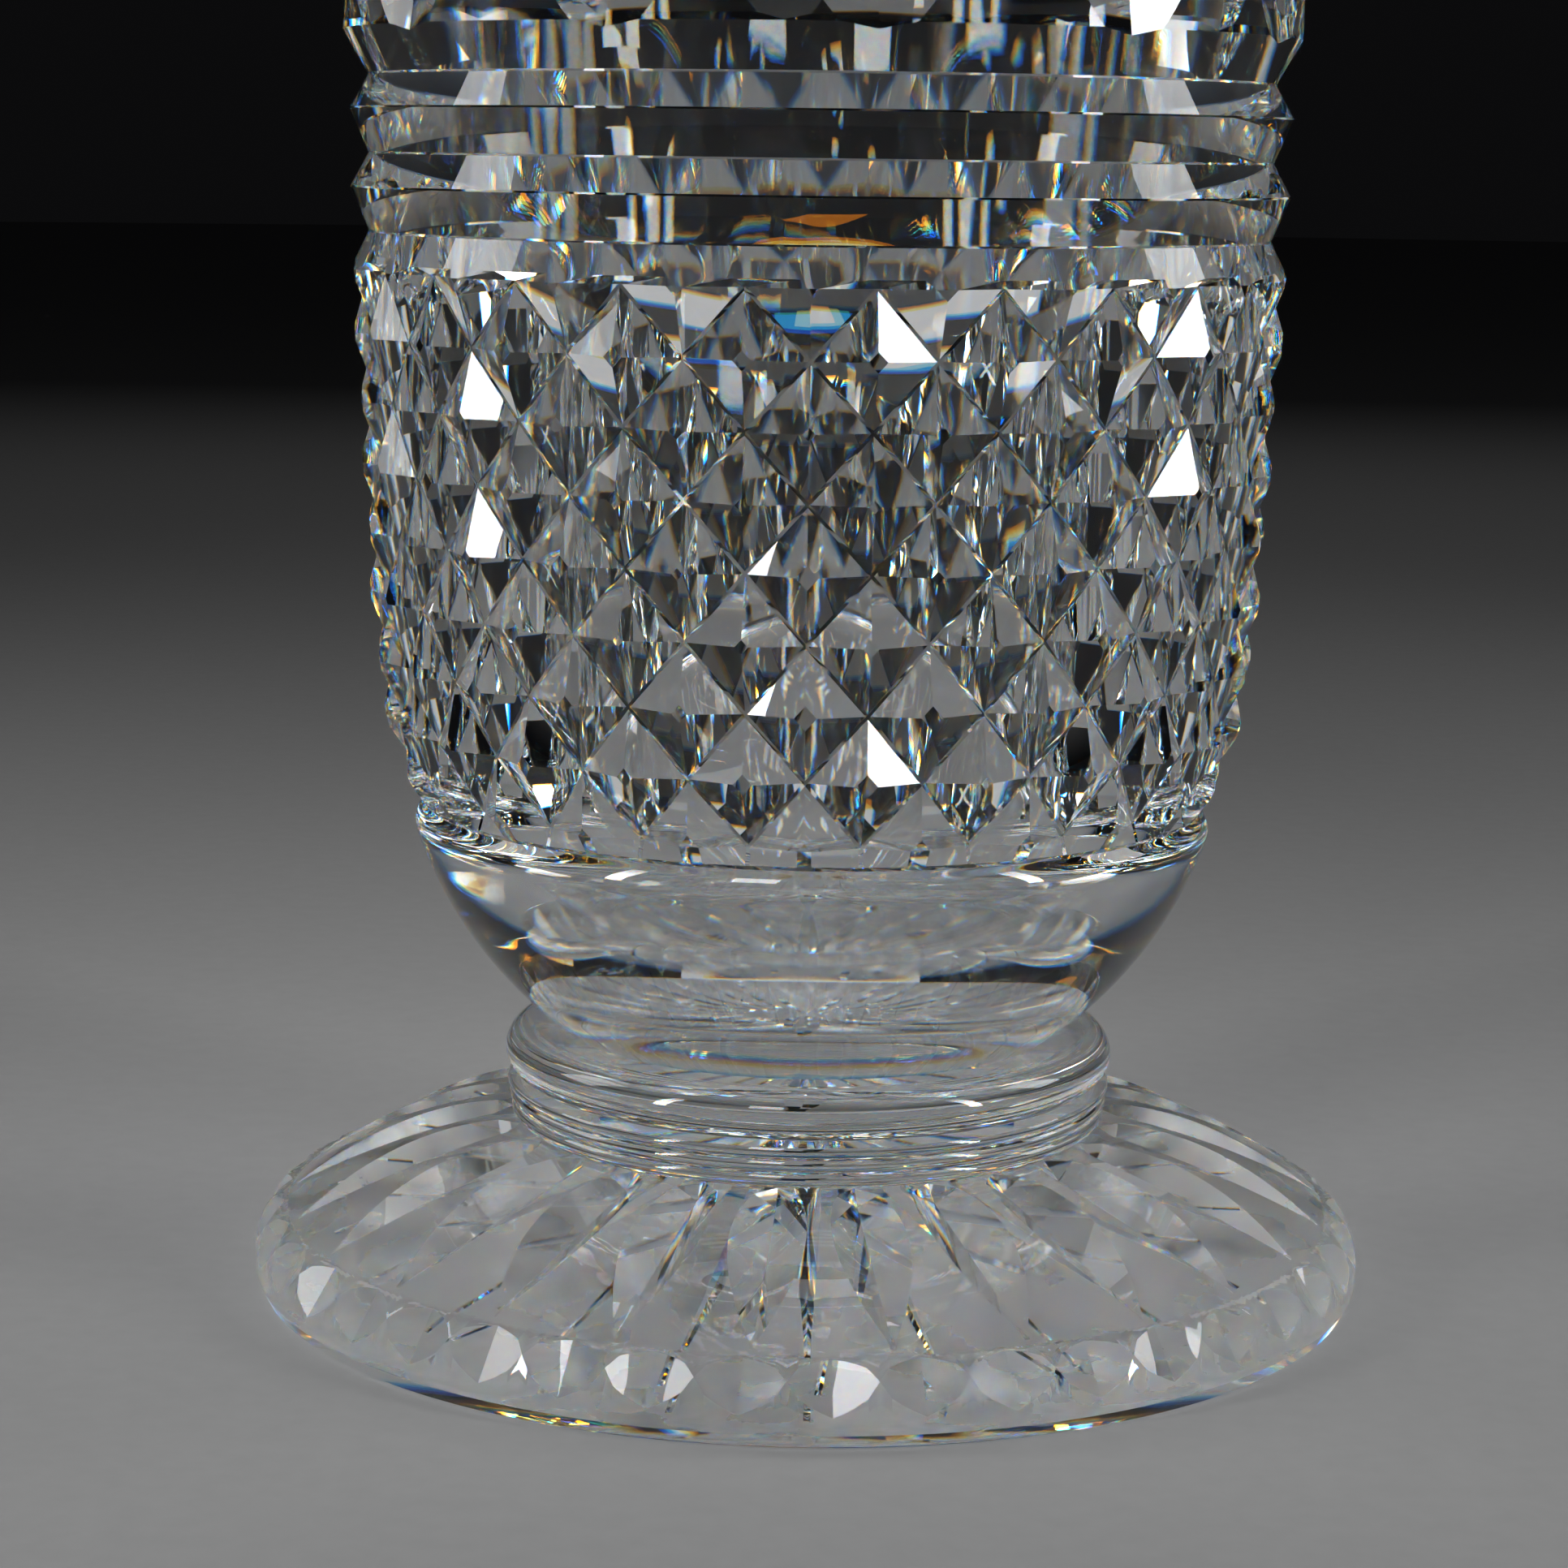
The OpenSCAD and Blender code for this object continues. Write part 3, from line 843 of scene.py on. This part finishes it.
def crystal(name, wear):
    """Clear lead crystal: it spreads colours, and has a faint waviness and a little wear in its gloss."""
    material, tree, output = node_material(name)
    place = tree.nodes.new("ShaderNodeTexCoord")
    scuff = tree.nodes.new("ShaderNodeTexNoise")
    scuff.inputs["Scale"].default_value = 90.0
    scuff.inputs["Detail"].default_value = 4.0
    tree.links.new(place.outputs["Object"], scuff.inputs["Vector"])
    gloss = tree.nodes.new("ShaderNodeMapRange")
    gloss.inputs["From Min"].default_value = 0.55
    gloss.inputs["From Max"].default_value = 0.8
    gloss.inputs["To Min"].default_value = 0.0
    gloss.inputs["To Max"].default_value = wear
    tree.links.new(scuff.outputs["Fac"], gloss.inputs["Value"])
    wave = tree.nodes.new("ShaderNodeTexNoise")
    wave.inputs["Scale"].default_value = 55.0
    wave.inputs["Detail"].default_value = 1.0
    tree.links.new(place.outputs["Object"], wave.inputs["Vector"])
    bump = tree.nodes.new("ShaderNodeBump")
    bump.inputs["Strength"].default_value = 0.25
    bump.inputs["Distance"].default_value = 0.0002
    tree.links.new(wave.outputs["Fac"], bump.inputs["Height"])

    def glass(colour, ior):
        shader = tree.nodes.new("ShaderNodeBsdfGlass")
        shader.inputs["Color"].default_value = (*colour, 1.0)
        shader.inputs["IOR"].default_value = ior
        tree.links.new(gloss.outputs["Result"], shader.inputs["Roughness"])
        tree.links.new(bump.outputs["Normal"], shader.inputs["Normal"])
        return shader.outputs["BSDF"]

    def mixed(share, first, second):
        both = tree.nodes.new("ShaderNodeMixShader")
        if isinstance(share, float):
            both.inputs["Fac"].default_value = share
        else:
            tree.links.new(share, both.inputs["Fac"])
        tree.links.new(first, both.inputs[1])
        tree.links.new(second, both.inputs[2])
        return both.outputs["Shader"]

    plain = glass((0.985, 0.99, 0.995), IOR)
    warm = mixed(0.5, glass((2.4, 0.7, 0.0), IOR - SPREAD), glass((1.5, 1.5, 0.2), IOR - SPREAD / 3))
    cool = mixed(0.5, glass((0.1, 1.4, 1.2), IOR + SPREAD / 3), glass((0.0, 0.4, 2.6), IOR + SPREAD * 1.2))
    spread = mixed(0.5, warm, cool)
    path = tree.nodes.new("ShaderNodeLightPath")
    seen = mixed(path.outputs["Is Camera Ray"], plain, spread)
    shadow = tree.nodes.new("ShaderNodeBsdfTransparent")
    shadow.inputs["Color"].default_value = (0.50, 0.51, 0.52, 1.0)
    surface = mixed(path.outputs["Is Shadow Ray"], seen, shadow.outputs["BSDF"])
    tree.links.new(surface, output.inputs["Surface"])
    return material


def ground_glass():
    """The worn ring that the foot rests on: frosted by use."""
    material, tree, output = node_material("worn_base")
    shader = tree.nodes.new("ShaderNodeBsdfPrincipled")
    shader.inputs["Base Color"].default_value = (0.93, 0.94, 0.95, 1.0)
    shader.inputs["Transmission Weight"].default_value = 1.0
    shader.inputs["IOR"].default_value = IOR
    place = tree.nodes.new("ShaderNodeTexCoord")
    scuff = tree.nodes.new("ShaderNodeTexNoise")
    scuff.inputs["Scale"].default_value = 70.0
    scuff.inputs["Detail"].default_value = 6.0
    tree.links.new(place.outputs["Object"], scuff.inputs["Vector"])
    gloss = tree.nodes.new("ShaderNodeMapRange")
    gloss.inputs["From Min"].default_value = 0.4
    gloss.inputs["From Max"].default_value = 0.65
    gloss.inputs["To Min"].default_value = 0.18
    gloss.inputs["To Max"].default_value = 0.5
    tree.links.new(scuff.outputs["Fac"], gloss.inputs["Value"])
    tree.links.new(gloss.outputs["Result"], shader.inputs["Roughness"])
    tree.links.new(shader.outputs["BSDF"], output.inputs["Surface"])
    return material


def joint_glass():
    """The faces where two pieces were joined hot: light passes straight through them."""
    material, tree, output = node_material("hot_joint")
    shader = tree.nodes.new("ShaderNodeBsdfTransparent")
    tree.links.new(shader.outputs["BSDF"], output.inputs["Surface"])
    return material


def floor_material():
    """Pale matt board with a faint mottle."""
    material, tree, output = node_material("pale_board")
    shader = tree.nodes.new("ShaderNodeBsdfPrincipled")
    shader.inputs["Roughness"].default_value = 0.75
    place = tree.nodes.new("ShaderNodeTexCoord")
    mottle = tree.nodes.new("ShaderNodeTexNoise")
    mottle.inputs["Scale"].default_value = 260.0
    mottle.inputs["Detail"].default_value = 3.0
    tree.links.new(place.outputs["Object"], mottle.inputs["Vector"])
    shade = tree.nodes.new("ShaderNodeValToRGB")
    shade.color_ramp.elements[0].color = (0.42, 0.42, 0.42, 1.0)
    shade.color_ramp.elements[1].color = (0.47, 0.47, 0.47, 1.0)
    tree.links.new(mottle.outputs["Fac"], shade.inputs["Fac"])
    tree.links.new(shade.outputs["Color"], shader.inputs["Base Color"])
    tree.links.new(shader.outputs["BSDF"], output.inputs["Surface"])
    return material


# ---- Stage, light and camera ----


def make_floor():
    shell = Shell()
    gap = 0.3
    rings = [shell.circle(r, -gap, 96) for r in (6000.0, 2500.0, 1200.0, 500.0, 200.0)]
    last = shell.skin(rings)
    shell.fan_to(-gap, last)
    floor = shell.build("floor", [floor_material()])


def soft_light(name, place, target, width, height, watts, spread=180):
    data = bpy.data.lights.new(name, "AREA")
    data.shape = "RECTANGLE"
    data.size = width
    data.size_y = height
    data.energy = watts
    data.spread = math.radians(spread)
    light = bpy.data.objects.new(name, data)
    light.location = place
    light.rotation_euler = (Vector(target) - Vector(place)).to_track_quat("-Z", "Y").to_euler()
    light.visible_camera = False
    bpy.context.scene.collection.objects.link(light)
    return light


def make_lights():
    middle = (0.0, 0.0, 0.12)
    soft_light("left_box", (-0.68, 0.10, 0.45), middle, 0.26, 0.36, 0.52, 120)
    soft_light("right_box", (0.68, 0.16, 0.45), middle, 0.20, 0.36, 0.44, 120)
    soft_light("back_box", (0.05, 1.30, 0.78), middle, 1.10, 0.30, 0.55)
    soft_light("top_box", (0.0, 0.10, 0.75), (0.0, 0.02, 0.0), 0.30, 0.22, 0.15, 110)
    soft_light("front_box", (-0.30, -0.95, 0.85), middle, 0.25, 0.25, 0.45, 90)
    soft_light("left_strip", (-0.42, -0.30, 0.26), middle, 0.05, 0.36, 0.16, 60)
    soft_light("right_strip", (0.46, -0.24, 0.26), middle, 0.05, 0.36, 0.16, 60)


def make_world():
    world = bpy.data.worlds.new("studio")
    world.use_nodes = True
    world.node_tree.nodes["Background"].inputs["Color"].default_value = (0.0035, 0.0035, 0.0038, 1.0)
    world.node_tree.nodes["Background"].inputs["Strength"].default_value = 1.0
    bpy.context.scene.world = world
    bpy.context.scene.view_settings.view_transform = "Standard"


def make_camera():
    """A phone's long lens, a little above the shoulder of the vase and looking down."""
    data = bpy.data.cameras.new("camera")
    data.sensor_width = 36.0
    data.lens = 83.85
    camera = bpy.data.objects.new("camera", data)
    place = (-0.0035, -0.4529, 0.141)
    down = 9.88
    tilt, roll = math.radians(90 - down), math.radians(0.75)
    camera.matrix_world = (
        Matrix.Translation(place)
        @ Matrix.Rotation(tilt, 4, "X")
        @ Matrix.Rotation(roll, 4, "Z")
    )
    bpy.context.scene.collection.objects.link(camera)
    bpy.context.scene.camera = camera


joint = joint_glass()
ground = ground_glass()
PIECES = (
    (make_foot, "foot", "foot_crystal", 0.06),
    (make_knop, "knop", "knop_crystal", 0.02),
    (make_body, "body", "body_crystal", 0.02),
)
for make, node, slot, wear in PIECES:
    piece = make([crystal(slot, wear), joint, ground])
    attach(piece, "root")
    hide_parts(node)

make_floor()
make_lights()
make_world()
make_camera()

cycles = bpy.context.scene.cycles
cycles.max_bounces = 28
cycles.transmission_bounces = 28
cycles.glossy_bounces = 12
cycles.transparent_max_bounces = 24
